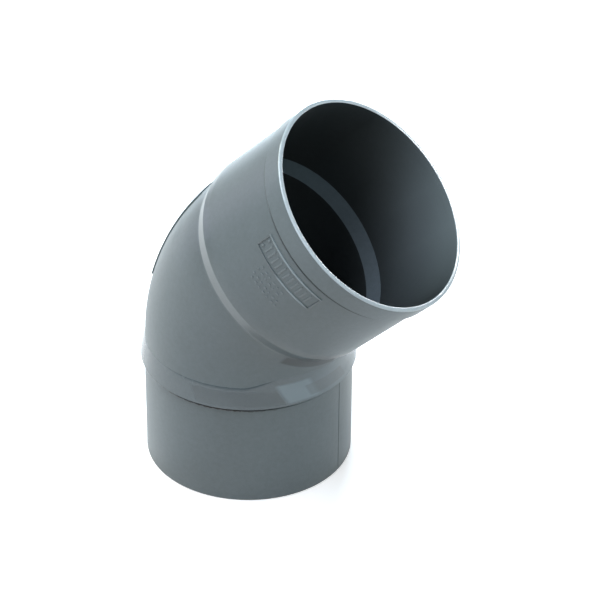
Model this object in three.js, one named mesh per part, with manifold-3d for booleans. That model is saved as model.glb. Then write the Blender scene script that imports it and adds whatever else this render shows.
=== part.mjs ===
// 45 degree pipe elbow in grey PVC-U, with a plain spigot at one end and a solvent-weld socket at the other.
// Millimetres, +Z up. The elbow stands on its spigot end: the spigot axis is vertical, and the socket axis
// leans 45 degrees towards +X. The origin is the bottom centre of the whole fitting's box.
//
// The real fitting is one injection moulding. Here it is divided at its own edges (the collar, the ends of
// the bend, the shoulder and foot of the socket, the mouth band), and each stretch of wall is one solid.

import * as THREE from 'three';
import { mergeVertices } from 'three/addons/utils/BufferGeometryUtils.js';
import Module from 'manifold-3d';

const wasm = await Module();
wasm.setup();

const { degToRad, lerp } = THREE.MathUtils;

// ---- driving dimensions ------------------------------------------------------------------------------

const BEND_ANGLE = degToRad(45);
const BEND_RADIUS = 70;            // of the centre line
const BEND_OUTER_RADIUS = 54.5;
const AXES_HEIGHT = 98;            // where the two axes meet, above the spigot end

const PIPE_RADIUS = 55;            // outside of the spigot: pipe of 110 mm
const PIPE_WALL = 3.2;

const SPIGOT_LENGTH = 59;          // up to the collar
const COLLAR_RADIUS = 57.1;        // at its lower edge, which overhangs the spigot
const COLLAR_SHOULDER_RADIUS = 56.2;
const COLLAR_SHOULDER_RISE = 5;    // from the lower edge to the shoulder
const COLLAR_NECK_RADIUS = 55;
const COLLAR_NECK_RISE = 8;

const MOUTH_REACH = 101;           // from where the axes meet to the mouth face, along the socket axis
const SOCKET_DEPTH = 59.8;
const SOCKET_BORE_RADIUS = 55.2;
const SOCKET_OUTER_RADIUS = 57.2;
const LEAD_IN_RADIUS = 56;         // the bore opens to this at the mouth face
const LEAD_IN_DEPTH = 4;
const BAND_RADIUS = 58.3;          // thicker band round the mouth
const BAND_WIDTH = 11.4;

const SHOULDER_START = 30.2;       // along the socket axis: the outside widens from here
const SHOULDER_END = 37.5;         // to here
const STOP_START = 33.5;           // and the bore widens from here, in a cone that ends at the socket's foot
const STOP_BACK_WALL = 1.8;        // radial thickness of the stop ring at its narrow end
const STOP_CORNER = 36.5;          // where the back of the stop ring meets its outside

const PAD_RISE = 1;                // raised pad on the heel of the bend, narrower towards the socket
const PAD_START = degToRad(16);    // along the bend
const PAD_END = degToRad(43.5);
const PAD_FOOT_HALF_WIDTH = 26;
const PAD_HEAD_HALF_WIDTH = 13;
const PAD_CORNER = 6;              // how much of each corner is rounded off

const FRAME_RISE = 0.5;            // raised frame for markings, on the side of the socket
const FRAME_CENTRE = 78.3;         // along the socket axis
const FRAME_WIDTH = 11.3;
const FRAME_HALF_ANGLE = degToRad(20.9);
const FRAME_MIDDLE = degToRad(-90);
const FRAME_BAR = 1;               // width of the frame's sides

const EDGE_ROUND = 0.6;            // bevels at the open ends
const GAP = 0.3;                   // clearance between one stretch of wall and the next
const SKIN_GAP = 0.15;             // and under what stands on a wall

const AROUND = 64;                 // facets round a full turn
const BEND_STEPS = 12;             // facets along the bend
const PATCH_SEGMENTS = 7;          // half the facets across the pad and the frame
const CORNER_SEGMENTS = 4;         // facets round a corner of the pad

// ---- places worked out from them ---------------------------------------------------------------------

const PASSAGE_RADIUS = PIPE_RADIUS - PIPE_WALL;
const TANGENT = BEND_RADIUS * Math.tan(BEND_ANGLE / 2);
const BEND_START = AXES_HEIGHT - TANGENT;
const SOCKET_FOOT = MOUTH_REACH - SOCKET_DEPTH;
const BARREL_START = SOCKET_FOOT + 1;
const BAND_START = MOUTH_REACH - BAND_WIDTH;

const MOUTH_LEAN_X = Math.sin(BEND_ANGLE) * (MOUTH_REACH - EDGE_ROUND);
const HIGHEST_X = MOUTH_LEAN_X + Math.cos(BEND_ANGLE) * BAND_RADIUS;
const SPIGOT_AXIS_X = (COLLAR_RADIUS - HIGHEST_X) / 2;

// ---- helpers -----------------------------------------------------------------------------------------

/** A ring about +Z. The outline lists [radius, height] pairs: up the outside, then down the inside. */
function turnedRing(outline) {
  const profile = [...outline, outline[0]].map(([radius, height]) => new THREE.Vector2(radius, height));
  return new THREE.LatheGeometry(profile, AROUND).rotateX(Math.PI / 2);
}

/** The centre line of the bend, from one turn angle to another. */
class BendPath extends THREE.Curve {
  constructor(from, to) {
    super();
    this.from = from;
    this.to = to;
  }

  getPoint(t, target = new THREE.Vector3()) {
    const turn = lerp(this.from, this.to, t);
    const x = BEND_RADIUS * (1 - Math.cos(turn));
    return target.set(x, 0, BEND_START + BEND_RADIUS * Math.sin(turn));
  }
}

/** Part of an annulus, as a flat section. */
function sectorShape(inner, outer, from, to) {
  const shape = new THREE.Shape();
  shape.absarc(0, 0, outer, from, to, false);
  shape.absarc(0, 0, inner, to, from, true);
  shape.closePath();
  return shape;
}

/** A curved plate round +Z, between two radii, two angles and two heights. */
function curvedPlate(inner, outer, middle, halfAngle, low, high) {
  const section = sectorShape(inner, outer, middle - halfAngle, middle + halfAngle);
  const options = { depth: high - low, bevelEnabled: false, curveSegments: PATCH_SEGMENTS };
  return new THREE.ExtrudeGeometry(section, options).translate(0, 0, low);
}

function toSolid(geometry) {
  const bare = geometry.clone();
  bare.deleteAttribute('normal');
  bare.deleteAttribute('uv');
  const merged = mergeVertices(bare);
  const vertProperties = new Float32Array(merged.attributes.position.array);
  const triVerts = new Uint32Array(merged.index.array);
  return new wasm.Manifold(new wasm.Mesh({ numProp: 3, vertProperties, triVerts }));
}

function toGeometry(solid) {
  const { vertProperties, triVerts } = solid.getMesh();
  const geometry = new THREE.BufferGeometry();
  geometry.setAttribute('position', new THREE.BufferAttribute(vertProperties, 3));
  geometry.setIndex(new THREE.BufferAttribute(triVerts, 1));
  geometry.computeVertexNormals();
  return geometry;
}

/** Grey rigid PVC; the collar and shoulder keep more of the mould's polish than the walls. */
function greyPvc(roughness, color = 0x6d787d) {
  return new THREE.MeshStandardMaterial({ color, roughness, metalness: 0 });
}

function addPiece(parent, name, geometry, material) {
  const piece = new THREE.Mesh(geometry, material);
  piece.name = name;
  parent.add(piece);
}

// ---- the spigot: plain pipe end, glued into the next fitting's socket ----------------------------------

function spigotBarrel() {
  return turnedRing([
    [PASSAGE_RADIUS, 0],
    [PIPE_RADIUS - EDGE_ROUND, 0],
    [PIPE_RADIUS, EDGE_ROUND],
    [PIPE_RADIUS, SPIGOT_LENGTH - GAP],
    [PASSAGE_RADIUS, SPIGOT_LENGTH - GAP],
  ]);
}

/** The collar the next socket's mouth comes up against: a sharp lower edge, easing into the bend above. */
function spigotCollar() {
  return turnedRing([
    [PASSAGE_RADIUS, SPIGOT_LENGTH],
    [COLLAR_RADIUS, SPIGOT_LENGTH],
    [COLLAR_SHOULDER_RADIUS, SPIGOT_LENGTH + COLLAR_SHOULDER_RISE],
    [COLLAR_NECK_RADIUS, SPIGOT_LENGTH + COLLAR_NECK_RISE],
    [BEND_OUTER_RADIUS, BEND_START - GAP],
    [PASSAGE_RADIUS, BEND_START - GAP],
  ]);
}

// ---- the bend ----------------------------------------------------------------------------------------

function bendShell() {
  const section = new THREE.Shape();
  section.absarc(0, 0, BEND_OUTER_RADIUS, 0, 2 * Math.PI, false);
  const passage = new THREE.Path();
  passage.absarc(0, 0, PASSAGE_RADIUS, 0, 2 * Math.PI, true);
  section.holes.push(passage);
  const extrudePath = new BendPath(0, BEND_ANGLE);
  return new THREE.ExtrudeGeometry(section, { steps: BEND_STEPS, curveSegments: AROUND / 2, extrudePath });
}

/** A closed outline through the corners given, each one rounded off. */
function roundedOutline(corners, rounding) {
  const shape = new THREE.Shape();
  corners.forEach((corner, index) => {
    const before = corners.at(index - 1);
    const after = corners.at((index + 1) % corners.length);
    const arrive = corner.clone().add(before.clone().sub(corner).setLength(rounding));
    const leave = corner.clone().add(after.clone().sub(corner).setLength(rounding));
    if (index === 0) {
      shape.moveTo(arrive.x, arrive.y);
    } else {
      shape.lineTo(arrive.x, arrive.y);
    }
    shape.quadraticCurveTo(corner.x, corner.y, leave.x, leave.y);
  });
  shape.closePath();
  return shape;
}

/** A skin over the heel, cut to a rounded trapezium that is drawn square on to the middle of the pad. */
function heelPad() {
  const heel = -Math.PI / 2;
  const middle = (PAD_START + PAD_END) / 2;
  const inner = BEND_OUTER_RADIUS + SKIN_GAP;
  const outer = BEND_OUTER_RADIUS + PAD_RISE;
  const skinHalfAngle = 1.2 * Math.asin(PAD_FOOT_HALF_WIDTH / outer);
  const section = sectorShape(inner, outer, heel - skinHalfAngle, heel + skinHalfAngle);
  const margin = degToRad(4);
  const extrudePath = new BendPath(PAD_START - margin, BEND_ANGLE);
  const skin = new THREE.ExtrudeGeometry(section, {
    steps: BEND_STEPS, curveSegments: PATCH_SEGMENTS, extrudePath,
  });

  const halfLength = (BEND_RADIUS + outer) * Math.sin((PAD_END - PAD_START) / 2);
  const outline = roundedOutline([
    new THREE.Vector2(-PAD_FOOT_HALF_WIDTH, -halfLength),
    new THREE.Vector2(PAD_FOOT_HALF_WIDTH, -halfLength),
    new THREE.Vector2(PAD_HEAD_HALF_WIDTH, halfLength),
    new THREE.Vector2(-PAD_HEAD_HALF_WIDTH, halfLength),
  ], PAD_CORNER);
  const across = new THREE.Vector3(0, -1, 0);
  const along = new THREE.Vector3(Math.sin(middle), 0, Math.cos(middle));
  const outwards = new THREE.Vector3().crossVectors(across, along);
  const place = new THREE.Matrix4().makeBasis(across, along, outwards);
  place.setPosition(new BendPath(middle, middle).getPoint(0));
  const cutter = new THREE.ExtrudeGeometry(outline, {
    depth: 2 * outer, bevelEnabled: false, curveSegments: CORNER_SEGMENTS,
  });
  cutter.applyMatrix4(place);
  return toGeometry(toSolid(skin).intersect(toSolid(cutter)));
}

// ---- the socket, in its own axes: +Z out of the mouth, +X to the throat side ----------------------------

/** Outside cone between the bend and the socket, with a seat inside for the stop ring. */
function socketShoulder() {
  return turnedRing([
    [PASSAGE_RADIUS, TANGENT + GAP],
    [BEND_OUTER_RADIUS, TANGENT + GAP],
    [BEND_OUTER_RADIUS, SHOULDER_START],
    [SOCKET_OUTER_RADIUS, SHOULDER_END],
    [SOCKET_OUTER_RADIUS, BARREL_START - GAP],
    [SOCKET_BORE_RADIUS, BARREL_START - GAP],
    [SOCKET_BORE_RADIUS, STOP_CORNER - GAP],
    [PASSAGE_RADIUS + STOP_BACK_WALL, STOP_START - GAP],
    [PASSAGE_RADIUS, STOP_START - GAP],
  ]);
}

/** The cone that a pushed-in pipe comes to rest against. */
function pipeStopRing() {
  const seat = SOCKET_BORE_RADIUS - GAP;
  const slope = (SOCKET_BORE_RADIUS - PASSAGE_RADIUS) / (SOCKET_FOOT - STOP_START);
  return turnedRing([
    [PASSAGE_RADIUS, STOP_START],
    [PASSAGE_RADIUS + STOP_BACK_WALL - GAP, STOP_START],
    [seat, STOP_CORNER],
    [seat, SOCKET_FOOT - GAP / slope],
  ]);
}

function socketBarrel() {
  return turnedRing([
    [SOCKET_BORE_RADIUS, BARREL_START],
    [SOCKET_OUTER_RADIUS, BARREL_START],
    [SOCKET_OUTER_RADIUS, BAND_START - GAP],
    [SOCKET_BORE_RADIUS, BAND_START - GAP],
  ]);
}

function mouthBand() {
  return turnedRing([
    [SOCKET_BORE_RADIUS, BAND_START],
    [BAND_RADIUS, BAND_START],
    [BAND_RADIUS, MOUTH_REACH - EDGE_ROUND],
    [BAND_RADIUS - EDGE_ROUND, MOUTH_REACH],
    [LEAD_IN_RADIUS, MOUTH_REACH],
    [SOCKET_BORE_RADIUS, MOUTH_REACH - LEAD_IN_DEPTH],
  ]);
}

function markingFrame() {
  const inner = SOCKET_OUTER_RADIUS + SKIN_GAP;
  const outer = SOCKET_OUTER_RADIUS + FRAME_RISE;
  const low = FRAME_CENTRE - FRAME_WIDTH / 2;
  const high = FRAME_CENTRE + FRAME_WIDTH / 2;
  const plate = curvedPlate(inner, outer, FRAME_MIDDLE, FRAME_HALF_ANGLE, low, high);
  const windowHalfAngle = FRAME_HALF_ANGLE - FRAME_BAR / SOCKET_OUTER_RADIUS;
  const opening = curvedPlate(
    inner - 1, outer + 1, FRAME_MIDDLE, windowHalfAngle, low + FRAME_BAR, high - FRAME_BAR,
  );
  return toGeometry(toSolid(plate).subtract(toSolid(opening)));
}

// ---- assembly ----------------------------------------------------------------------------------------

const wallFinish = 0.42;
const polishedFinish = 0.25;

const elbow = new THREE.Group();
elbow.position.x = SPIGOT_AXIS_X;
addPiece(elbow, 'spigot_barrel', spigotBarrel(), greyPvc(wallFinish));
addPiece(elbow, 'spigot_collar', spigotCollar(), greyPvc(polishedFinish));
addPiece(elbow, 'bend_shell', bendShell(), greyPvc(wallFinish));
addPiece(elbow, 'heel_pad', heelPad(), greyPvc(wallFinish));

const socket = new THREE.Group();
socket.position.z = AXES_HEIGHT;
socket.rotation.y = BEND_ANGLE;
elbow.add(socket);
addPiece(socket, 'socket_shoulder', socketShoulder(), greyPvc(polishedFinish, 0x7d878b));
addPiece(socket, 'pipe_stop_ring', pipeStopRing(), greyPvc(wallFinish, 0x4e565a));
addPiece(socket, 'socket_barrel', socketBarrel(), greyPvc(wallFinish));
addPiece(socket, 'mouth_band', mouthBand(), greyPvc(wallFinish, 0x75838a));
addPiece(socket, 'marking_frame', markingFrame(), greyPvc(wallFinish));

const group = new THREE.Group();
group.add(elbow);

export default group;
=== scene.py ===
from math import atan2, cos, degrees, radians, sin, tan

import bpy
from mathutils import Matrix, Vector


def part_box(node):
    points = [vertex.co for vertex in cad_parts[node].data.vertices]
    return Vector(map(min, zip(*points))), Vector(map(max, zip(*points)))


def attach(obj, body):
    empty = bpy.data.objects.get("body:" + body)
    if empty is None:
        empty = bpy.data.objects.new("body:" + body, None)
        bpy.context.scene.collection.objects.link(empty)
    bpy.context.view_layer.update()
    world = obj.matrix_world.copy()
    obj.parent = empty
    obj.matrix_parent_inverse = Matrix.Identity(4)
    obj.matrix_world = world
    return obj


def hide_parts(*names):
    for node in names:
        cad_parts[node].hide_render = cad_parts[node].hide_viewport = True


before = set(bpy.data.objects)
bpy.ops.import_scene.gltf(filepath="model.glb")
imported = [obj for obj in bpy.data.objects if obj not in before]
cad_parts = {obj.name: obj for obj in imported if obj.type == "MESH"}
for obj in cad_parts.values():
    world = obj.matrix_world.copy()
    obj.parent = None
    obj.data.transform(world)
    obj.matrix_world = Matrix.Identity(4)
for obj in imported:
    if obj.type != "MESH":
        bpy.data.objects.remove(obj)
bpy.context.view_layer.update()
bpy.ops.object.select_all(action="DESELECT")


# ---- spigot barrel ------------------------------------------------------------------------------------
# The plain end of the elbow, 110 mm outside, which is glued into the next fitting's socket.
# Moulded grey PVC-U, satin, with the end face rounded off a little at both edges.

MM = 0.001
AROUND = 192                     # facets in a full turn
BORE = 51.8                      # radius of the passage right through the fitting
SPIGOT_RADIUS = 55
SPIGOT_LENGTH = 59
END_ROUND = 0.6
SPIGOT_AXIS = Vector(((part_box("spigot_barrel")[0].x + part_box("spigot_barrel")[1].x) / 2, 0, 0))


def turned_ring(name, outline):
    """A ring about Z. The outline runs up the outside and down the inside, as (radius, height) in mm."""
    radius, height = outline[0]
    bpy.ops.mesh.primitive_circle_add(vertices=AROUND, radius=radius * MM, location=(0, 0, height * MM))
    ring = bpy.context.object
    ring.name = ring.data.name = name
    bpy.ops.object.transform_apply()
    bpy.ops.object.mode_set(mode="EDIT")
    for next_radius, next_height in [*outline[1:], outline[0]]:
        lift = (0, 0, (next_height - height) * MM)
        bpy.ops.mesh.extrude_edges_move(TRANSFORM_OT_translate={"value": lift})
        spread = next_radius / radius
        bpy.ops.transform.resize(value=(spread, spread, 1), center_override=(0, 0, next_height * MM))
        radius, height = next_radius, next_height
    bpy.ops.mesh.select_all(action="SELECT")
    bpy.ops.mesh.remove_doubles(threshold=1e-6)
    bpy.ops.mesh.normals_make_consistent(inside=False)
    bpy.ops.mesh.select_all(action="DESELECT")
    bpy.ops.object.mode_set(mode="OBJECT")
    return ring


def select_only(mesh, wanted):
    """Selects just the vertices for which wanted(place) is true, with the edges between them."""
    for part in (*mesh.vertices, *mesh.edges, *mesh.polygons):
        part.select = False
    for vertex in mesh.vertices:
        vertex.select = wanted(vertex.co)
    for edge in mesh.edges:
        edge.select = all(mesh.vertices[i].select for i in edge.vertices)


def round_rim(ring, radius, height, size, steps=4):
    """Rounds off the edge that runs round the ring at that radius and height, in mm."""
    rim = Vector((radius, height))
    select_only(ring.data, lambda place: (Vector((place.xy.length, place.z)) / MM - rim).length < 0.03)
    bpy.context.view_layer.objects.active = ring
    bpy.ops.object.mode_set(mode="EDIT")
    bpy.ops.mesh.select_mode(type="EDGE")
    bpy.ops.mesh.bevel(offset=size * MM, segments=steps, affect="EDGES")
    bpy.ops.mesh.select_mode(type="VERT")
    bpy.ops.mesh.select_all(action="DESELECT")
    bpy.ops.object.mode_set(mode="OBJECT")


def settle(piece, place=Matrix.Identity(4), sharp_above=35):
    """Puts the piece where it belongs, writes that into its mesh, and smooths all but its sharp edges."""
    bpy.ops.object.select_all(action="DESELECT")
    piece.select_set(True)
    bpy.context.view_layer.objects.active = piece
    piece.matrix_world = place
    bpy.ops.object.transform_apply(location=True, rotation=True, scale=True)
    bpy.ops.object.shade_smooth_by_angle(angle=radians(sharp_above))
    weigh = piece.modifiers.new("flat walls stay flat", "WEIGHTED_NORMAL")
    weigh.keep_sharp = True
    bpy.ops.object.modifier_apply(modifier=weigh.name)
    piece.select_set(False)


class Paint:
    """One output in a material's nodes. Sums, differences and products of them add their own Math nodes."""

    def __init__(self, tree, socket=None):
        self.tree = tree
        self.socket = socket

    def node(self, kind, settings={}, inputs={}, output=0):
        made = self.tree.nodes.new("ShaderNode" + kind)
        for name, value in settings.items():
            setattr(made, name, value)
        for name, value in inputs.items():
            if isinstance(value, Paint):
                self.tree.links.new(value.socket, made.inputs[name])
            else:
                made.inputs[name].default_value = value
        return Paint(self.tree, made.outputs[output] if made.outputs else None)

    def maths(self, operation, first, second=0.0, clamp=False):
        settings = {"operation": operation, "use_clamp": clamp}
        return self.node("Math", settings, {0: first, 1: second})

    def __add__(self, other):
        return self.maths("ADD", self, other)

    __radd__ = __add__

    def __sub__(self, other):
        return self.maths("SUBTRACT", self, other)

    def __rsub__(self, other):
        return self.maths("SUBTRACT", other, self)

    def __mul__(self, other):
        return self.maths("MULTIPLY", self, other)

    __rmul__ = __mul__

    def clamped(self, low, high):
        """0 where this is low or less, 1 where it is high or more, and a straight slope between."""
        scaled = (self - low) * (1 / (high - low))
        return self.maths("ADD", scaled, 0.0, clamp=True)


def between(value, low, high, soft):
    """1 where the value lies from low to high, fading to 0 over the soft distance inside each end."""
    return value.clamped(low, low + soft) * (1 - value.clamped(high - soft, high))


def mixed(factor, first, second):
    """From the first colour to the second as the factor goes from 0 to 1."""
    return factor.node("Mix", {"data_type": "RGBA"}, {0: factor, 6: first, 7: second}, output=2)


def shade(colour, amount):
    return (*[channel * amount for channel in colour], 1)


def about_spigot(start, place):
    """The degrees round the spigot, 0 on the throat side and -90 in front, and the height in mm."""
    x, y, z = [start.node("SeparateXYZ", {}, {"Vector": place}, axis) for axis in range(3)]
    return start.maths("ARCTAN2", y, x - SPIGOT_AXIS.x) * degrees(1), z * (1 / MM)


PVC_GREY = (0.150, 0.184, 0.195)


def grey_pvc(name, colour=PVC_GREY, roughness=0.42, gloss=0.5, coat=0.0, grain=1.0, extra=None):
    """Rigid PVC as it leaves the mould: cloudy pigment, a pebbled skin, flow marks and a few scuffs."""
    material = bpy.data.materials.new(name)
    material.use_nodes = True
    tree = material.node_tree
    tree.nodes.clear()
    start = Paint(tree)
    place = start.node("TexCoord", output="Object")

    def noise(scale, detail=2.0, rough=0.5, stretch=None):
        where = place
        if stretch:
            where = start.node("Mapping", {"vector_type": "POINT"}, {"Vector": place, "Scale": stretch})
        return start.node("TexNoise", {}, {
            "Vector": where, "Scale": scale, "Detail": detail, "Roughness": rough,
        })

    cloud = noise(28, 3.0, 0.55)
    mottle = noise(420, 2.0, 0.6)
    speck = noise(2300, 1.0, 0.5)
    flow = noise(60, 2.0, 0.5, (1.0, 1.0, 0.18))
    scuff = noise(95, 4.0, 0.62, (1.0, 1.0, 0.35)).clamped(0.60, 0.72)

    tone = 0.5 + (cloud - 0.5) * 0.55 + (mottle - 0.5) * 0.55 + (speck - 0.5) * 0.4
    base = mixed(tone.clamped(0.2, 0.8), shade(colour, 0.88), shade(colour, 1.12))
    base = mixed(scuff * 0.18, base, shade(colour, 1.30))
    sheen = roughness + (cloud - 0.5) * 0.06 + (flow - 0.5) * 0.05 + scuff * 0.08
    if extra:
        base, sheen = extra(start, place, base, sheen)

    height = (speck - 0.5) * (0.35 * grain) + (mottle - 0.5) * (0.8 * grain) + (cloud - 0.5) * 2.0
    skin = start.node("Bump", {}, {"Height": height, "Strength": 0.35, "Distance": 0.00006})
    shader = start.node("BsdfPrincipled", {}, {
        "Base Color": base, "Roughness": sheen, "Normal": skin,
        "IOR": 1.53, "Specular IOR Level": gloss, "Coat Weight": coat, "Coat Roughness": 0.12,
    })
    start.node("OutputMaterial", {}, {"Surface": shader})
    return material


def paint_wall(ring, outside, inside, bore_radius):
    """The outside of a ring gets one finish, and its bore, up to that radius in mm, another."""
    ring.data.materials.append(outside)
    ring.data.materials.append(inside)
    for face in ring.data.polygons:
        middle = face.center
        away = Vector((middle.x, middle.y, 0)).dot(face.normal)
        in_bore = middle.xy.length < bore_radius * MM and away < -0.3 * middle.xy.length
        face.material_index = int(in_bore)


# The bores are painted about a quarter as light as the walls outside, as painted shade inside the fitting.
bore_pvc = grey_pvc("dull bore PVC", shade(PVC_GREY, 0.28)[:3], 0.62, 0.08, 0.0, 0.6)


def painted_shadow_under_lip(start, place, base, sheen):
    """Painted shadow under the collar's lip: a dark band, mostly in front, with a ragged lower edge, and
    painted shade fading up towards it.
    """
    turn, height = about_spigot(start, place)
    ragged = start.node("TexNoise", {}, {"Vector": place, "Scale": 420, "Detail": 2.0})
    painted_shadow = (height + (ragged - 0.5) * 2.2).clamped(56.4, 56.8) * between(turn, -132, -36, 30)
    painted_shade_below_lip = height.clamped(54.5, 58) * between(turn, -140, -20, 40) * 0.25
    base = mixed(painted_shade_below_lip, base, shade(PVC_GREY, 0.3))
    return mixed(painted_shadow * 0.93, base, shade(PVC_GREY, 0.07)), sheen


# The spigot's outside carries the painted shadow and painted shade under the collar's lip.
spigot_pvc = grey_pvc("satin spigot PVC", extra=painted_shadow_under_lip)
spigot = turned_ring("spigot_barrel_wall", [
    (SPIGOT_RADIUS, 0), (SPIGOT_RADIUS, 2), (SPIGOT_RADIUS, 30), (SPIGOT_RADIUS, 56.9),
    (SPIGOT_RADIUS - 0.3, 57.3), (SPIGOT_RADIUS - 0.3, SPIGOT_LENGTH),
    (BORE, SPIGOT_LENGTH), (BORE, 30), (BORE, 2), (BORE, 0),
])
round_rim(spigot, SPIGOT_RADIUS, 0, END_ROUND)
round_rim(spigot, BORE, 0, END_ROUND)
paint_wall(spigot, spigot_pvc, bore_pvc, BORE + 1)
on_spigot = Matrix.Translation(SPIGOT_AXIS)
settle(spigot, on_spigot)
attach(spigot, "root")
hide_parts("spigot_barrel")


# ---- spigot collar ------------------------------------------------------------------------------------
# The ridge that the next socket's mouth comes up against. Its lower edge is crisp and overhangs the
# barrel; above, it eases into the bend, higher up on the throat side. Moulded in one with the walls,
# but against polished steel, so it is glossier than they are.

COLLAR_RADIUS = 57.1
COLLAR_TOP = 71.0
THROAT_RISE = 6.4                # how much higher the collar's top climbs on the throat side,
THROAT_FROM, THROAT_TO = 24, 46  # from the first of these distances from the axis to the second
COLLAR_BACK = 69.005             # where the bend's wall begins


def painted_reflection_patches(start, place, base, sheen):
    """Painted reflections on the collar: squarish darker and lighter patches, a painted highlight that
    reaches its top edge, and a painted lighter stretch towards the throat side.
    """
    turn, height = about_spigot(start, place)
    wavy = start.node("TexNoise", {}, {"Vector": place, "Scale": 60, "Detail": 1.0})
    turn = turn + (wavy - 0.5) * 3
    slant = turn + (height - 64) * 0.5
    front = between(slant, -90, -40, 1.2) * between(height, 60.4, 68.6, 0.4)
    painted_highlight = between(slant, -42, -20, 3.0) * between(height, 59.5, 72, 1.5)
    side = between(slant, -27, 2, 1.5) * between(height, 61, 68, 0.6)
    # Painted reflections: a dark patch in front, a painted highlight, lighter towards the throat, and a
    # darker patch beside.
    base = mixed(front * 0.5, base, shade(PVC_GREY, 0.58))
    base = mixed(painted_highlight * 0.7, base, (0.27, 0.355, 0.40, 1))
    painted_right_light = turn.clamped(-40, -10) * (1 - turn.clamped(20, 60)) * 0.4
    base = mixed(painted_right_light, base, (0.235, 0.32, 0.36, 1))
    base = mixed(side * 0.4, base, shade(PVC_GREY, 0.7))
    return base, sheen + front * 0.08


# The polished collar's colour carries painted reflections.
polished_pvc = grey_pvc(
    "polished collar PVC", (0.112, 0.143, 0.156), 0.22, 0.55, 0.2, 0.35, extra=painted_reflection_patches,
)
collar = turned_ring("spigot_collar_ring", [
    (BORE, SPIGOT_LENGTH), (54, SPIGOT_LENGTH), (COLLAR_RADIUS, SPIGOT_LENGTH), (56.2, 64), (55.5, 67),
    (55.05, 69), (54.75, 70.2), (54.42, COLLAR_TOP), (54.1, 70), (54.1, COLLAR_BACK), (BORE, COLLAR_BACK),
])
round_rim(collar, COLLAR_RADIUS, SPIGOT_LENGTH, 0.25, 3)
for vertex in collar.data.vertices:
    if vertex.co.z > 68 * MM and vertex.co.xy.length > 54 * MM:
        share = min(max((vertex.co.x / MM - THROAT_FROM) / (THROAT_TO - THROAT_FROM), 0), 1)
        vertex.co.z += THROAT_RISE * MM * share * share * (3 - 2 * share)
paint_wall(collar, polished_pvc, bore_pvc, BORE + 1)
settle(collar, on_spigot, 25)
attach(collar, "root")
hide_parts("spigot_collar")


# ---- bend ---------------------------------------------------------------------------------------------
# The 45 degree stretch of wall between the collar and the socket, bent tightly: its inside curve is
# only 15 mm. Moulded in one with its neighbours, so it meets them flush.

BEND_ANGLE = radians(45)
BEND_RADIUS = 70                 # of the centre line
BEND_OUTSIDE = 54.5
AXES_HEIGHT = 98                 # where the spigot's axis and the socket's meet
TANGENT = BEND_RADIUS * tan(BEND_ANGLE / 2)
BEND_START = AXES_HEIGHT - TANGENT
BEND_CENTRE = SPIGOT_AXIS + Vector((BEND_RADIUS, 0, BEND_START)) * MM
BEND_STEPS = 24


def along_socket(start, place):
    """The distance along the socket's axis from where the two axes meet, in mm."""
    x, z = [start.node("SeparateXYZ", {}, {"Vector": place}, axis) for axis in (0, 2)]
    return ((x - SPIGOT_AXIS.x) * sin(BEND_ANGLE) + (z - AXES_HEIGHT * MM) * cos(BEND_ANGLE)) * (1 / MM)


def painted_shade_under_shoulder(start, place, base, sheen):
    """Painted shade where the wall tucks in under the socket's shoulder: a painted shadow on the near
    throat side, painted shade along the shoulder's edge, and a soft darkening towards it.
    """
    x, y = [start.node("SeparateXYZ", {}, {"Vector": place}, axis) * (1 / MM) for axis in (0, 1)]
    along = along_socket(start, place)
    throat_side = (x - SPIGOT_AXIS.x / MM).clamped(30, 38)
    near_side = y.clamped(-41, -39.4) * (1 - y.clamped(-8, 8))
    crescent = along.clamped(22.2, 23.6) * near_side * throat_side
    edge = along.clamped(28.6, 30) * (x - SPIGOT_AXIS.x / MM).clamped(0, 26)
    soft = along.clamped(16, 31) * 0.2
    base = mixed(soft, base, shade(PVC_GREY, 0.55))
    base = mixed(crescent * 0.85, base, shade(PVC_GREY, 0.2))
    return mixed(edge * 0.7, base, shade(PVC_GREY, 0.2)), sheen


# The bend's colour carries painted shade under the socket's shoulder.
bend_pvc = grey_pvc("satin bend PVC", extra=painted_shade_under_shoulder)
foot = SPIGOT_AXIS + Vector((0, 0, BEND_START * MM))
bpy.ops.mesh.primitive_circle_add(vertices=AROUND, radius=BEND_OUTSIDE * MM, location=foot)
bend = bpy.context.object
bend.name = bend.data.name = "bend_wall"
bpy.ops.object.transform_apply()
bpy.ops.object.mode_set(mode="EDIT")
bpy.ops.mesh.extrude_edges_move(TRANSFORM_OT_translate={"value": (0, 0, 0)})
narrowing = BORE / BEND_OUTSIDE
bpy.ops.transform.resize(value=(narrowing, narrowing, 1), center_override=foot)
bpy.ops.mesh.select_all(action="SELECT")
bpy.ops.mesh.spin(steps=BEND_STEPS, angle=BEND_ANGLE, center=BEND_CENTRE, axis=(0, -1, 0))
bpy.ops.mesh.select_all(action="SELECT")
bpy.ops.mesh.remove_doubles(threshold=1e-6)
bpy.ops.mesh.normals_make_consistent(inside=False)
bpy.ops.mesh.select_all(action="DESELECT")
bpy.ops.object.mode_set(mode="OBJECT")
bend.data.materials.append(bend_pvc)
bend.data.materials.append(bore_pvc)
for face in bend.data.polygons:
    turn = atan2(face.center.z - BEND_CENTRE.z, BEND_CENTRE.x - face.center.x)
    turn = min(max(turn, 0), BEND_ANGLE)
    on_line = BEND_CENTRE + Vector((-cos(turn), 0, sin(turn))) * BEND_RADIUS * MM
    face.material_index = int((face.center - on_line).length < (BORE + 1) * MM)
settle(bend)
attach(bend, "root")
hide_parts("bend_shell")


# ---- heel pad -----------------------------------------------------------------------------------------
# A plain raised pad on the outside of the bend, less than 1 mm proud, narrower towards the socket, with
# rounded corners. Moulded with the bend, and a little duller than it.

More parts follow.
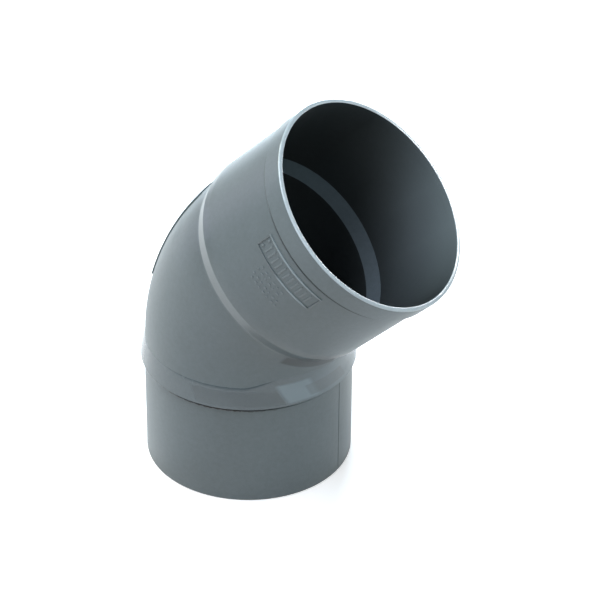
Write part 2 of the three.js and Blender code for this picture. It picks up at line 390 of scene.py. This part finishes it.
PAD_RISE = 0.7
PAD_ROOT = 0.3                   # how far the pad is sunk into the bend
PAD_SOFTNESS = 0.6               # rounding of its rim
PAD_FROM, PAD_TO = radians(16), radians(41.5)
PAD_FOOT_HALF, PAD_HEAD_HALF = 23, 9
PAD_AROUND, PAD_STEPS = 360, 60  # facets in a full turn, and along the whole bend
CORNER = 5
CORNER_CUTS = 8

pad_middle = (PAD_FROM + PAD_TO) / 2
pad_along = Vector((sin(pad_middle), 0, cos(pad_middle)))
pad_out = Vector((-cos(pad_middle), 0, sin(pad_middle)))
pad_place = BEND_CENTRE + pad_out * (BEND_RADIUS * MM)
pad_half_length = (BEND_RADIUS + BEND_OUTSIDE + PAD_RISE) * sin((PAD_TO - PAD_FROM) / 2)

bpy.ops.mesh.primitive_circle_add(vertices=PAD_AROUND, radius=(BEND_OUTSIDE + PAD_RISE) * MM, location=foot)
pad = bpy.context.object
pad.name = pad.data.name = "heel_pad_plate"
bpy.ops.object.transform_apply()
widest = 1.15 * PAD_FOOT_HALF / (BEND_OUTSIDE + PAD_RISE)
select_only(pad.data, lambda place: atan2(abs(place.y), SPIGOT_AXIS.x - place.x) > widest)
bpy.ops.object.mode_set(mode="EDIT")
bpy.ops.mesh.delete(type="VERT")
bpy.ops.mesh.select_all(action="SELECT")
bpy.ops.mesh.spin(steps=PAD_STEPS, angle=BEND_ANGLE, center=BEND_CENTRE, axis=(0, -1, 0))
pad_corners = [
    (-PAD_FOOT_HALF, -pad_half_length), (PAD_FOOT_HALF, -pad_half_length),
    (PAD_HEAD_HALF, pad_half_length), (-PAD_HEAD_HALF, pad_half_length),
]
cuts = []
for index, (across, along) in enumerate(pad_corners):
    here = Vector((across, along))
    after = Vector(pad_corners[(index + 1) % 4])
    before = Vector(pad_corners[index - 1])
    arrive = here + (before - here).normalized() * CORNER
    leave = here + (after - here).normalized() * CORNER
    for step in range(CORNER_CUTS):
        t = (step + 0.5) / CORNER_CUTS
        touch = arrive * (1 - t) ** 2 + here * (2 * t * (1 - t)) + leave * t ** 2
        heading = (here - arrive) * (1 - t) + (leave - here) * t
        cuts.append((touch, Vector((heading.y, -heading.x)).normalized()))
    cuts.append(((here + after) / 2, Vector(((after - here).y, -(after - here).x)).normalized()))
for touch, outward in cuts:
    point = pad_place + (pad_along * touch.y + Vector((0, -1, 0)) * touch.x) * MM
    normal = pad_along * outward.y + Vector((0, -1, 0)) * outward.x
    bpy.ops.mesh.select_all(action="SELECT")
    bpy.ops.mesh.bisect(plane_co=point, plane_no=normal, clear_outer=True)
bpy.ops.mesh.select_all(action="SELECT")
bpy.ops.mesh.remove_doubles(threshold=1e-6)
bpy.ops.mesh.normals_make_consistent(inside=False)
bpy.ops.object.mode_set(mode="OBJECT")
if sum(face.normal.dot(pad_out) for face in pad.data.polygons) < 0:
    pad.data.flip_normals()
thickness = pad.modifiers.new("pad thickness", "SOLIDIFY")
thickness.thickness = (PAD_RISE + PAD_ROOT) * MM
thickness.offset = -1
thickness.use_even_offset = True
bpy.ops.object.modifier_apply(modifier=thickness.name)
softening = pad.modifiers.new("rounded rim", "BEVEL")
softening.width = PAD_SOFTNESS * MM
softening.segments = 5
softening.limit_method = "ANGLE"
softening.angle_limit = radians(60)
bpy.ops.object.modifier_apply(modifier=softening.name)
settle(pad)

pad_pvc = grey_pvc("dull pad PVC", shade(PVC_GREY, 0.95)[:3], 0.55, 0.25)
pad.data.materials.append(pad_pvc)
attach(pad, "root")
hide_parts("heel_pad")


# ---- socket shoulder ----------------------------------------------------------------------------------
# Where the wall widens from the bend to the socket: a short cone with crisp edges, which also carries
# the seat of the stop ring inside. Polished like the collar.

SOCKET_OUTSIDE = 57.2
SOCKET_BORE = 55.2
SHOULDER_FROM, SHOULDER_TO = 30.2, 37.5
SOCKET_FOOT = 41.2
BARREL_FROM = SOCKET_FOOT + 1
STOP_FROM, STOP_CORNER = 33.5, 36.5

on_socket = (
    Matrix.Translation(SPIGOT_AXIS + Vector((0, 0, AXES_HEIGHT * MM))) @ Matrix.Rotation(BEND_ANGLE, 4, "Y")
)


def about_socket(start, place):
    """The angle round the socket's axis in degrees, 0 on the throat side and -90 in front."""
    x, y, z = [start.node("SeparateXYZ", {}, {"Vector": place}, axis) for axis in range(3)]
    across = (x - SPIGOT_AXIS.x) * cos(BEND_ANGLE) - (z - AXES_HEIGHT * MM) * sin(BEND_ANGLE)
    return start.maths("ARCTAN2", y, across) * degrees(1)


def painted_shade_low_front(start, place, base, sheen):
    """Painted shade: the shoulder is darkened below and in front, and keeps its colour elsewhere."""
    y, z = [start.node("SeparateXYZ", {}, {"Vector": place}, axis) for axis in (1, 2)]
    low = 1 - (z * (1 / MM)).clamped(88, 96)
    front = 1 - (y * (1 / MM)).clamped(-22, 0)
    return mixed(low * front * 0.9, base, shade(PVC_GREY, 0.16)), sheen


def painted_light_in_bore(start, place, base, sheen):
    """Painted light in the socket's bore: paler towards the mouth, from the throat side round the back."""
    painted_bore_light = between(about_socket(start, place), 0, 125, 50) * along_socket(start, place).clamped(30, 92)
    return mixed(painted_bore_light, base, shade(PVC_GREY, 1.05)), sheen


# The shoulder's colour carries painted shade below and in front.
shoulder_pvc = grey_pvc(
    "polished shoulder PVC", shade(PVC_GREY, 0.98)[:3], 0.3, 0.5, 0.06, 0.15, extra=painted_shade_low_front,
)
# The socket's bore colour is a darker copy of the wall's, as painted shade, with painted light towards the
# mouth.
socket_bore_pvc = grey_pvc(
    "dull socket bore PVC", shade(PVC_GREY, 0.28)[:3], 0.62, 0.08, 0.0, 0.6, extra=painted_light_in_bore,
)
shoulder = turned_ring("socket_shoulder_ring", [
    (BEND_OUTSIDE, TANGENT), (BEND_OUTSIDE, SHOULDER_FROM), (SOCKET_OUTSIDE, SHOULDER_TO),
    (SOCKET_OUTSIDE, BARREL_FROM), (SOCKET_BORE, BARREL_FROM), (SOCKET_BORE, STOP_CORNER),
    (BORE + 1.8, STOP_FROM), (BORE, STOP_FROM), (BORE, TANGENT),
])
round_rim(shoulder, BEND_OUTSIDE, SHOULDER_FROM, 0.35, 3)
round_rim(shoulder, SOCKET_OUTSIDE, SHOULDER_TO, 0.35, 3)
paint_wall(shoulder, shoulder_pvc, socket_bore_pvc, SOCKET_BORE + 0.5)
settle(shoulder, on_socket, 30)
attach(shoulder, "root")
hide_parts("socket_shoulder")


# ---- pipe stop ring -----------------------------------------------------------------------------------
# The cone inside the socket that a pushed-in pipe comes to rest against. Matt, as the inside of the
# mould is.

stop_pvc = grey_pvc("matt stop PVC", (0.148, 0.190, 0.215), 0.6, 0.2, 0.0, 0.6)
stop = turned_ring("pipe_stop_cone", [
    (BORE, STOP_FROM), (SOCKET_BORE - 0.05, SOCKET_FOOT), (SOCKET_BORE - 0.05, STOP_CORNER),
    (BORE + 1.8, STOP_FROM),
])
settle(stop, on_socket)
stop.data.materials.append(stop_pvc)
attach(stop, "root")
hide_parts("pipe_stop_ring")


# ---- socket barrel ------------------------------------------------------------------------------------
# The wide end that takes the next pipe, glued in. Satin outside like the rest of the wall, duller in the
# bore, where its colour is painted darker as painted shade.

BAND_FROM = 89.6


def painted_shadow_at_band_foot(start, place, base, sheen):
    """Painted shadow: a fine dark line along the foot of the mouth band, where its step overhangs the
    barrel.
    """
    line = along_socket(start, place).clamped(87.5, 88.3)
    return mixed(line * 0.72, base, shade(PVC_GREY, 0.2)), sheen


# The barrel's colour carries the painted shadow at the mouth band's foot.
barrel_pvc = grey_pvc("satin barrel PVC", extra=painted_shadow_at_band_foot)
barrel = turned_ring("socket_barrel_wall", [
    (SOCKET_OUTSIDE, BARREL_FROM), (SOCKET_OUTSIDE, 65), (SOCKET_OUTSIDE, 87.8),
    (SOCKET_OUTSIDE - 0.3, 88.2), (SOCKET_OUTSIDE - 0.3, BAND_FROM),
    (SOCKET_BORE, BAND_FROM), (SOCKET_BORE, 65), (SOCKET_BORE, BARREL_FROM),
])
paint_wall(barrel, barrel_pvc, socket_bore_pvc, SOCKET_BORE + 0.5)
settle(barrel, on_socket)
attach(barrel, "root")
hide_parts("socket_barrel")


# ---- mouth band ---------------------------------------------------------------------------------------
# The thicker band that stiffens the socket's mouth. Its end face is flat and painted pale, a painted
# highlight, and the bore opens to it in a short lead-in cone.

MOUTH = 101
BAND_RADIUS = 58.3
LEAD_IN_RADIUS = 56

# The band is painted a little lighter than the wall, as painted light.
band_pvc = grey_pvc("satin band PVC", shade(PVC_GREY, 1.1)[:3])
# The rim face's pale colour is a painted highlight.
painted_highlight_rim_pvc = grey_pvc("pale rim PVC", (0.56, 0.65, 0.69), 0.12, 0.7, 0.2, 0.3)
band = turned_ring("mouth_band_ring", [
    (SOCKET_BORE, BAND_FROM), (SOCKET_OUTSIDE - 0.5, BAND_FROM), (BAND_RADIUS, BAND_FROM),
    (BAND_RADIUS, MOUTH - 3), (BAND_RADIUS, MOUTH), (LEAD_IN_RADIUS, MOUTH),
    (SOCKET_BORE, MOUTH - 4),
])
round_rim(band, BAND_RADIUS, BAND_FROM, 0.2, 3)
round_rim(band, BAND_RADIUS, MOUTH, 1.05)
round_rim(band, LEAD_IN_RADIUS, MOUTH, 0.25, 3)
paint_wall(band, band_pvc, socket_bore_pvc, LEAD_IN_RADIUS)
band.data.materials.append(painted_highlight_rim_pvc)
for face in band.data.polygons:
    if face.center.z > (MOUTH - 0.6) * MM and face.normal.z > 0.3:
        face.material_index = 2
settle(band, on_socket)
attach(band, "root")
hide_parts("mouth_band")


# ---- marking frame ------------------------------------------------------------------------------------
# A thin raised frame on the side of the socket, with two dots and plain raised bars in it, and two
# pairs of rows of small raised dashes behind. Engraved in the mould; it carries no lettering.

FRAME_LOW, FRAME_HIGH = 72.65, 83.95
FRAME_HALF = 20.9                # degrees either side of the middle
FRAME_MIDDLE = -90
FRAME_RISE = 0.5


def raised_plate(name, from_angle, to_angle, low, high, rise, steps=None):
    """A curved plate on the socket barrel, between two angles in degrees and two distances in mm."""
    bpy.ops.mesh.primitive_plane_add(size=1, location=(0, 0, 0))
    plate = bpy.context.object
    plate.name = plate.data.name = name
    steps = steps or max(2, round((to_angle - from_angle) / 1.5))
    bottom, top = (SOCKET_OUTSIDE - 0.2) * MM, (SOCKET_OUTSIDE + rise) * MM
    corners = [(bottom, low * MM), (top, low * MM), (top, high * MM), (bottom, high * MM)]
    for vertex, corner in zip(plate.data.vertices, (0, 1, 3, 2)):
        radius, height = corners[corner]
        vertex.co = (radius * cos(radians(from_angle)), radius * sin(radians(from_angle)), height)
    bpy.ops.object.mode_set(mode="EDIT")
    bpy.ops.mesh.select_all(action="SELECT")
    bpy.ops.mesh.spin(
        steps=steps, angle=radians(to_angle - from_angle), center=(0, 0, 0), axis=(0, 0, -1),
    )
    bpy.ops.mesh.select_all(action="SELECT")
    bpy.ops.mesh.remove_doubles(threshold=1e-7)
    bpy.ops.mesh.normals_make_consistent(inside=False)
    bpy.ops.object.mode_set(mode="OBJECT")
    return plate


def joined(name, plates):
    bpy.ops.object.select_all(action="DESELECT")
    for plate in plates:
        plate.select_set(True)
    bpy.context.view_layer.objects.active = plates[0]
    bpy.ops.object.join()
    whole = bpy.context.object
    whole.name = whole.data.name = name
    return whole


def eased(plates):
    """Rounds off the plates' top edges."""
    easing = plates.modifiers.new("eased edges", "BEVEL")
    easing.width = 0.14 * MM
    easing.segments = 2
    easing.limit_method = "ANGLE"
    easing.angle_limit = radians(50)
    bpy.context.view_layer.objects.active = plates
    bpy.ops.object.modifier_apply(modifier=easing.name)


BAR = 0.9
bar_angle = degrees(BAR / SOCKET_OUTSIDE)
first, last = FRAME_MIDDLE - FRAME_HALF, FRAME_MIDDLE + FRAME_HALF
sides = [
    raised_plate("side", first, last, FRAME_LOW, FRAME_LOW + BAR, FRAME_RISE),
    raised_plate("side", first, last, FRAME_HIGH - BAR, FRAME_HIGH, FRAME_RISE),
    raised_plate("side", first, first + bar_angle, FRAME_LOW + BAR, FRAME_HIGH - BAR, FRAME_RISE),
    raised_plate("side", last - bar_angle, last, FRAME_LOW + BAR, FRAME_HIGH - BAR, FRAME_RISE),
]
marking_frame = joined("marking_frame_sides", sides)
eased(marking_frame)
settle(marking_frame, on_socket)


def painted_highlights_on_frame(start, place, base, sheen):
    """Painted highlights on the frame: lighter along its mouth side, and along the lower half of its other
    long side.
    """
    turn = about_socket(start, place)
    along = along_socket(start, place)
    mouth_side = along.clamped(FRAME_HIGH - 1.3, FRAME_HIGH - 0.8) * between(turn, -118, -62, 20)
    foot_side = (1 - along.clamped(FRAME_LOW + 0.8, FRAME_LOW + 1.3)) * turn.clamped(-94, -88)
    painted_mark = mouth_side + foot_side * (1 - turn.clamped(-74, -70))
    return mixed(painted_mark, base, shade(PVC_GREY, 2.1)), sheen - painted_mark * 0.1


# The frame's colour carries painted highlights along its bars.
raised_pvc = grey_pvc(
    "raised PVC with painted highlights", shade(PVC_GREY, 0.85)[:3], 0.35, 0.6, 0.2, 0.3, extra=painted_highlights_on_frame,
)
marking_frame.data.materials.append(raised_pvc)
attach(marking_frame, "root")
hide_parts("marking_frame")

BARS = 11
DOT_RISE, MARK_RISE = 0.35, 0.28
DASH_HALF = 0.55                 # half a dash's height
DASH_WIDTHS = (0.9, 1.5)         # in degrees, by turns
DASH_ROWS = ((68.9, 6), (66.1, 6), (62.4, 7), (59.6, 7))  # place along the socket, and number of dashes
bars = [
    raised_plate("dot", first + 1.9, first + 3.1, 75.3, 76.9, DOT_RISE),
    raised_plate("dot", first + 1.9, first + 3.1, 80.2, 82.0, DOT_RISE),
]
for index in range(BARS):
    at = first + 5.4 + index * 3.1
    bars.append(raised_plate("bar", at, at + 0.9, 75.2, 81.4, MARK_RISE))
for row, count in DASH_ROWS:
    for index in range(count):
        at = -100.5 + index * 3 + (row % 2)
        width = DASH_WIDTHS[index % 2]
        bars.append(raised_plate("dash", at, at + width, row - DASH_HALF, row + DASH_HALF, MARK_RISE))
bars = joined("marking_bars", bars)
eased(bars)
settle(bars, on_socket)
# The bars, dots and dashes are painted a little lighter than the wall, as painted highlights on their
# raised tops.
mark_pvc = grey_pvc("raised mark PVC", shade(PVC_GREY, 1.1)[:3], 0.3, 0.6, 0.1, 0.3)
bars.data.materials.append(mark_pvc)
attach(bars, "root")


# ---- parting lines ------------------------------------------------------------------------------------
# The hair-line that the two halves of the mould leave along the fitting, down its heel and its throat.
# A fine raised bead of the same PVC, painted a little darker as painted shade, which stops short of the
# polished collar and shoulder.

LINE_WIDTH = 0.42
LINE_RISE = 0.1
LINE_DEPTH = 0.5


def parting_line(name, path, outwards):
    """A fine bead in the bend's own plane, along (x, z) places on the skin in mm from the spigot's axis."""
    bpy.ops.mesh.primitive_plane_add(size=LINE_WIDTH * MM)
    bead = bpy.context.object
    bead.name = bead.data.name = name
    places = []
    for (x, z), away in zip(path, outwards):
        places.append(SPIGOT_AXIS + (Vector((x, 0, z)) + Vector(away) * LINE_RISE) * MM)
    select_only(bead.data, lambda place: place.x < 0)
    bpy.ops.object.mode_set(mode="EDIT")
    bpy.ops.mesh.delete(type="VERT")
    bpy.ops.mesh.select_all(action="SELECT")
    bpy.ops.transform.translate(value=places[0] - Vector((LINE_WIDTH / 2 * MM, 0, 0)))
    for here, there in zip(places, places[1:]):
        bpy.ops.mesh.extrude_edges_move(TRANSFORM_OT_translate={"value": there - here})
    bpy.ops.mesh.select_all(action="SELECT")
    bpy.ops.mesh.normals_make_consistent(inside=False)
    bpy.ops.object.mode_set(mode="OBJECT")
    if bead.data.polygons[0].normal.dot(Vector(outwards[0])) < 0:
        bead.data.flip_normals()
    depth = bead.modifiers.new("rooted in the wall", "SOLIDIFY")
    depth.thickness = LINE_DEPTH * MM
    depth.offset = -1
    bpy.ops.object.modifier_apply(modifier=depth.name)
    return bead


def straight(foot, top, away, steps=8):
    """Points from foot to top, and the outward direction at each."""
    foot, top = Vector(foot), Vector(top)
    return [tuple(foot.lerp(top, i / steps)) for i in range(steps + 1)], [away] * (steps + 1)


def from_socket(across, along):
    """A point of the bend's plane given by its place across and along the socket's axis, in mm."""
    return (
        across * cos(BEND_ANGLE) + along * sin(BEND_ANGLE),
        AXES_HEIGHT - across * sin(BEND_ANGLE) + along * cos(BEND_ANGLE),
    )


heel_turns = [BEND_ANGLE * i / BEND_STEPS for i in range(BEND_STEPS + 1)]
heel_radius = BEND_RADIUS + BEND_OUTSIDE
low_turns = [turn for turn in heel_turns if radians(3) < turn < PAD_FROM]
lean_out = (cos(BEND_ANGLE), 0, -sin(BEND_ANGLE))
lean_back = (-cos(BEND_ANGLE), 0, sin(BEND_ANGLE))
beads = [
    parting_line("line", *straight((SPIGOT_RADIUS, 1.5), (SPIGOT_RADIUS, 58.6), (1, 0, 0))),
    parting_line("line", *straight((-SPIGOT_RADIUS, 1.5), (-SPIGOT_RADIUS, 58.6), (-1, 0, 0))),
    parting_line(
        "line",
        [(BEND_RADIUS - heel_radius * cos(t), BEND_START + heel_radius * sin(t)) for t in low_turns],
        [(-cos(t), 0, sin(t)) for t in low_turns],
    ),
    parting_line("line", *straight(
        from_socket(-SOCKET_OUTSIDE, 38.5), from_socket(-SOCKET_OUTSIDE, 89.3), lean_back,
    )),
    parting_line("line", *straight(
        from_socket(SOCKET_OUTSIDE, 38.5), from_socket(SOCKET_OUTSIDE, 89.3), lean_out,
    )),
]
beads = joined("parting_lines", beads)
settle(beads)
# The bead is painted darker than the wall, as painted shade along it.
line_pvc = grey_pvc("rubbed parting line PVC", shade(PVC_GREY, 0.65)[:3], 0.5)
beads.data.materials.append(line_pvc)
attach(beads, "root")


# ---- studio -------------------------------------------------------------------------------------------
# A pale floor, which a hidden darker layer keeps from lighting the elbow from below, and soft boxes
# all round, set 1.4 m away; the small one shines along the mouth's flat rim.

CAMERA_TURN, CAMERA_LIFT, CAMERA_ROLL = radians(29.689), radians(32.752), radians(0.505)
CAMERA_DISTANCE = 1.36089
SENSOR, LENS = 36, 157.2126

right = Vector((cos(CAMERA_TURN), sin(CAMERA_TURN), 0))
back = Vector((
    sin(CAMERA_TURN) * cos(CAMERA_LIFT), -cos(CAMERA_TURN) * cos(CAMERA_LIFT), sin(CAMERA_LIFT),
))
up = back.cross(right)
aim = SPIGOT_AXIS + Vector((0.025, 0, 0.085)) + right * 0.005115 + up * 0.010572
across = right * cos(CAMERA_ROLL) + up * sin(CAMERA_ROLL)
upright = up * cos(CAMERA_ROLL) - right * sin(CAMERA_ROLL)
bpy.ops.object.camera_add(location=aim + back * CAMERA_DISTANCE)
camera = bpy.context.object
turned = Matrix((across, upright, back)).transposed().to_4x4()
camera.matrix_world = Matrix.Translation(aim + back * CAMERA_DISTANCE) @ turned
camera.data.sensor_width = SENSOR
camera.data.lens = LENS
camera.data.clip_start, camera.data.clip_end = 0.05, 50
bpy.context.scene.camera = camera

FLOOR_RADIUS = 6
FLOOR_DROP, UNDERLAY_DROP = -0.0002, -0.0006
FLOOR_GLOW = 0.5
UNDERLAY_GREY = (0.4, 0.4, 0.4, 1)
bpy.ops.mesh.primitive_circle_add(
    vertices=96, radius=FLOOR_RADIUS, fill_type="NGON", location=(0, 0, FLOOR_DROP),
)
floor = bpy.context.object
floor.name = floor.data.name = "studio_floor"
floor_paint = bpy.data.materials.new("pale floor")
floor_paint.use_nodes = True
floor_shader = floor_paint.node_tree.nodes["Principled BSDF"]
floor_shader.inputs["Base Color"].default_value = (0.9, 0.9, 0.9, 1)
floor_shader.inputs["Roughness"].default_value = 0.8
floor_shader.inputs["Emission Color"].default_value = (1, 1, 1, 1)
floor_shader.inputs["Emission Strength"].default_value = FLOOR_GLOW
floor.data.materials.append(floor_paint)
floor.visible_diffuse = False
floor.visible_shadow = False

bpy.ops.mesh.primitive_circle_add(
    vertices=96, radius=FLOOR_RADIUS, fill_type="NGON", location=(0, 0, UNDERLAY_DROP),
)
underlay = bpy.context.object
underlay.name = underlay.data.name = "studio_underlay"
underlay_paint = bpy.data.materials.new("grey underlay")
underlay_paint.use_nodes = True
underlay_shader = underlay_paint.node_tree.nodes["Principled BSDF"]
underlay_shader.inputs["Base Color"].default_value = UNDERLAY_GREY
underlay_shader.inputs["Roughness"].default_value = 1.0
underlay.data.materials.append(underlay_paint)
underlay.visible_camera = False
underlay.visible_glossy = False

CENTRE = Vector((0, 0, 0.1))
LIGHT_DISTANCE = 1.4


def soft_light(name, azimuth, elevation, size, power, colour):
    """A square soft box aimed at the elbow. Azimuth 0 is in front, at -Y, and 90 is at +X."""
    turn, lift = radians(azimuth), radians(elevation)
    way = Vector((sin(turn) * cos(lift), -cos(turn) * cos(lift), sin(lift)))
    bpy.ops.object.light_add(type="AREA", location=CENTRE + way * LIGHT_DISTANCE)
    lamp = bpy.context.object
    lamp.name = name
    lamp.rotation_euler = way.to_track_quat("Z", "Y").to_euler()
    lamp.data.shape = "SQUARE"
    lamp.data.size = size
    lamp.data.energy = power
    lamp.data.color = colour


LIGHTS = [
    # name, azimuth, elevation, size in metres, watts of red, green and blue
    ("front_box", 0, 32, 0.62, (2.8, 2.5, 2.4)),
    ("front_high_box", -30, 54, 0.62, (2.5, 3.2, 3.6)),
    ("top_box", -30, 76, 0.62, (7.4, 7.6, 8.4)),
    ("left_box", -90, 32, 0.62, (4.1, 3.6, 2.9)),
    ("left_high_box", -90, 54, 0.62, (4.6, 5.2, 4.6)),
    ("left_low_box", -90, 10, 0.62, (1.3, 1.3, 1.7)),
    ("back_left_box", -150, 10, 0.62, (30.0, 35.5, 40.0)),
    ("right_high_box", 60, 54, 0.62, (3.2, 3.3, 3.7)),
    ("right_box", 90, 32, 0.62, (2.0, 2.5, 2.4)),
    ("right_low_box", 120, 10, 0.62, (1.2, 1.2, 1.2)),
    ("rim_box", 146, 23, 0.16, (1.5, 1.5, 1.5)),
]
for name, azimuth, elevation, size, watts in LIGHTS:
    tint = [part / max(watts) for part in watts]
    soft_light(name, azimuth, elevation, size, max(watts), tint)

WORLD_TINT = (0.9, 0.95, 1.0, 1)
WORLD_GLOW = 0.004
world = bpy.data.worlds.new("studio")
bpy.context.scene.world = world
world.use_nodes = True
world.node_tree.nodes["Background"].inputs["Color"].default_value = WORLD_TINT
world.node_tree.nodes["Background"].inputs["Strength"].default_value = WORLD_GLOW
bpy.context.scene.view_settings.view_transform = "Standard"
